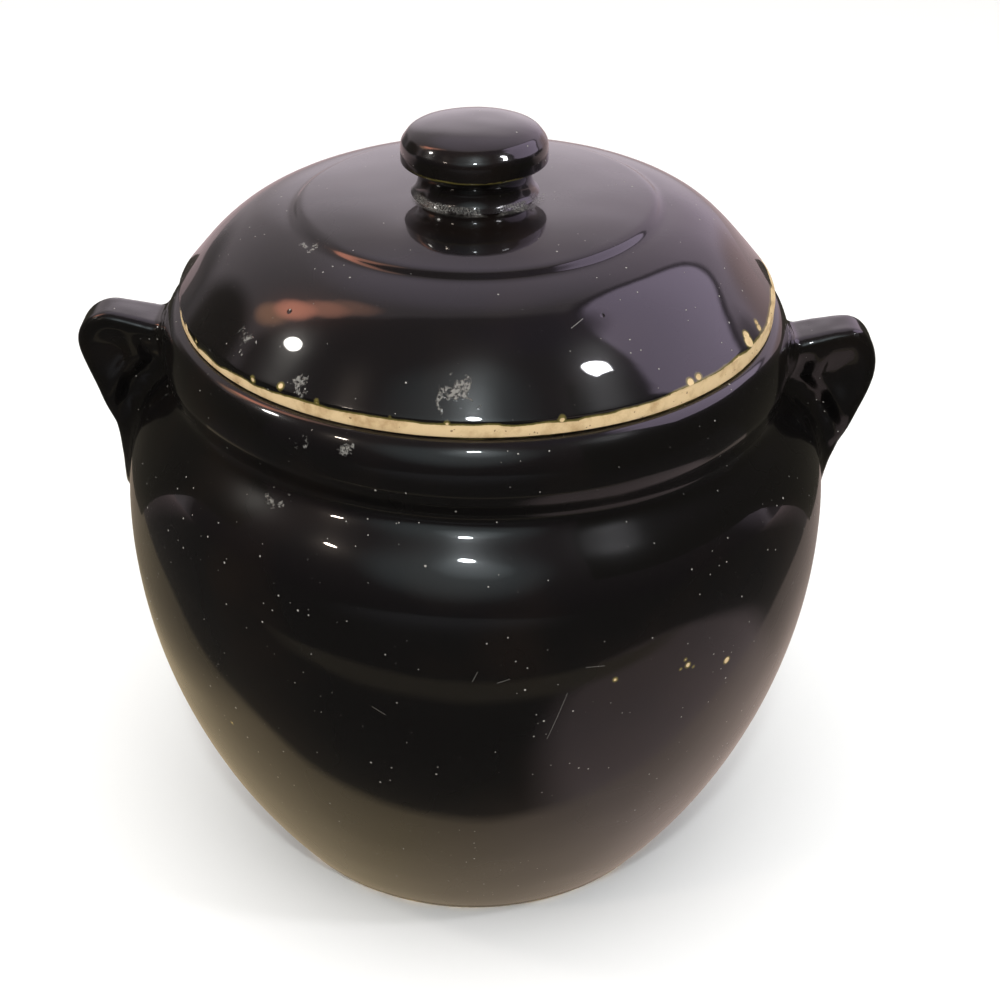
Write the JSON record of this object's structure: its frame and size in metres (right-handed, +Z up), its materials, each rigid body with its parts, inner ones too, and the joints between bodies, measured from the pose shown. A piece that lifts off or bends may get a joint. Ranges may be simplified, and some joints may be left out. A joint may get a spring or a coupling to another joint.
{
  "type": "bean pot",
  "caption": "Glazed stoneware bean pot with a rounded belly, a barrel-shaped collar, lug ears and a stepped, domed lid that lifts off by its mushroom knob.",
  "frame": {"origin": "the middle of the pot's foot, on its axis, in the plane that it stands on", "axes": "+Z up along the pot's axis, +X through one ear, so the ears lie on the X axis and -Y is the front"},
  "size_m": [0.2132, 0.19, 0.2088],
  "materials": {
    "pot_glaze": "glossy near-black brown slip glaze, bare clay on the foot ring",
    "ear_glaze": "glossy near-black brown slip glaze",
    "lid_glaze": "glossy near-black brown slip glaze, bare buff clay round the edge",
    "knob_glaze": "glossy near-black brown slip glaze"
  },
  "bodies": {
    "pot": {"pot_body": "pot_glaze", "ear_left": "ear_glaze", "ear_right": "ear_glaze"},
    "lid_assembly": {"lid": "lid_glaze", "lid_knob": "knob_glaze"}
  },
  "joints": [
    {"name": "lid_lift", "type": "slide", "parent": "pot", "child": "lid_assembly", "axis": [0, 0, 1], "range_m": [0, 0.12]}
  ]
}
